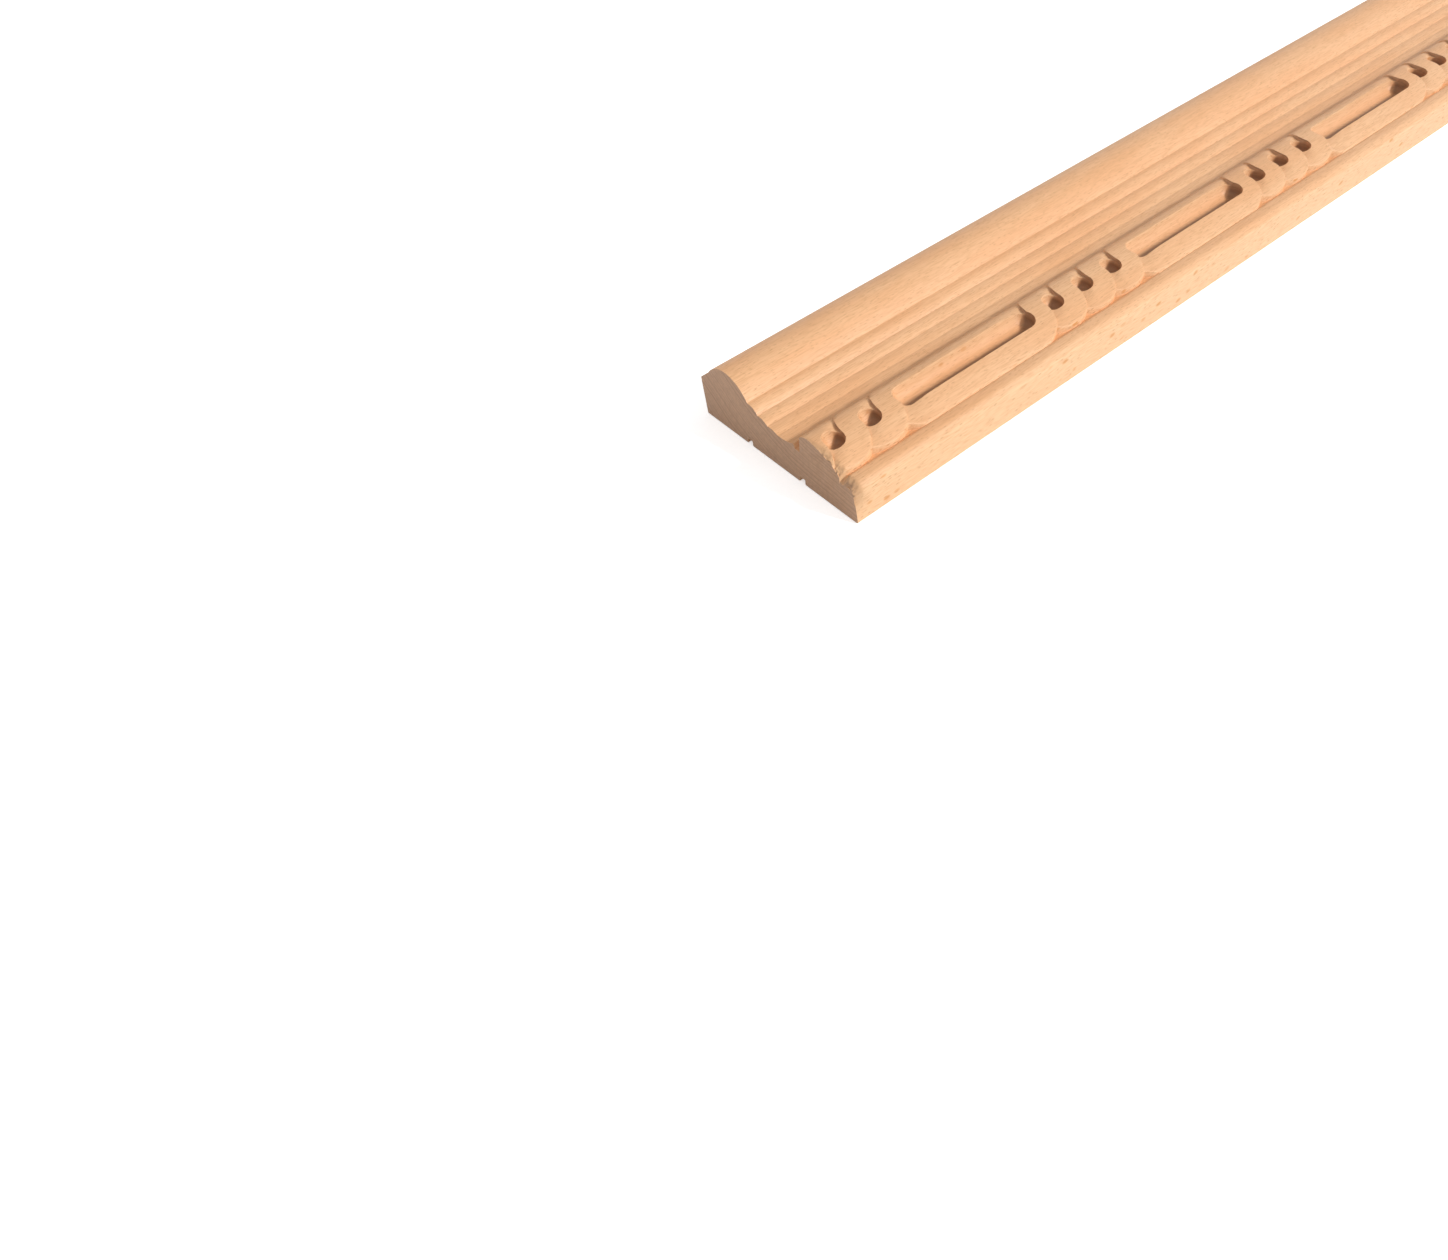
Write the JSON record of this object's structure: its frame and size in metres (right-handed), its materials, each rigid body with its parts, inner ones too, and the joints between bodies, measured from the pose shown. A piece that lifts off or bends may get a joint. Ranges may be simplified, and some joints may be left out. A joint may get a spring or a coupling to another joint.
{
  "type": "wood moulding",
  "caption": "Straight length of solid wood moulding: a big roll, stepped reeds, a cove and a carved chain of interlaced rings and long links, flat at the back.",
  "frame": {"origin": "middle of the flat back face, half way along the length and across the width", "axes": "+X along the length, +Y towards the roll edge, +Z out of the carved face"},
  "size_m": [0.8, 0.06, 0.018],
  "materials": {
    "beech": "planed, unfinished"
  },
  "bodies": {
    "root": {"moulding": "beech"}
  },
  "joints": []
}
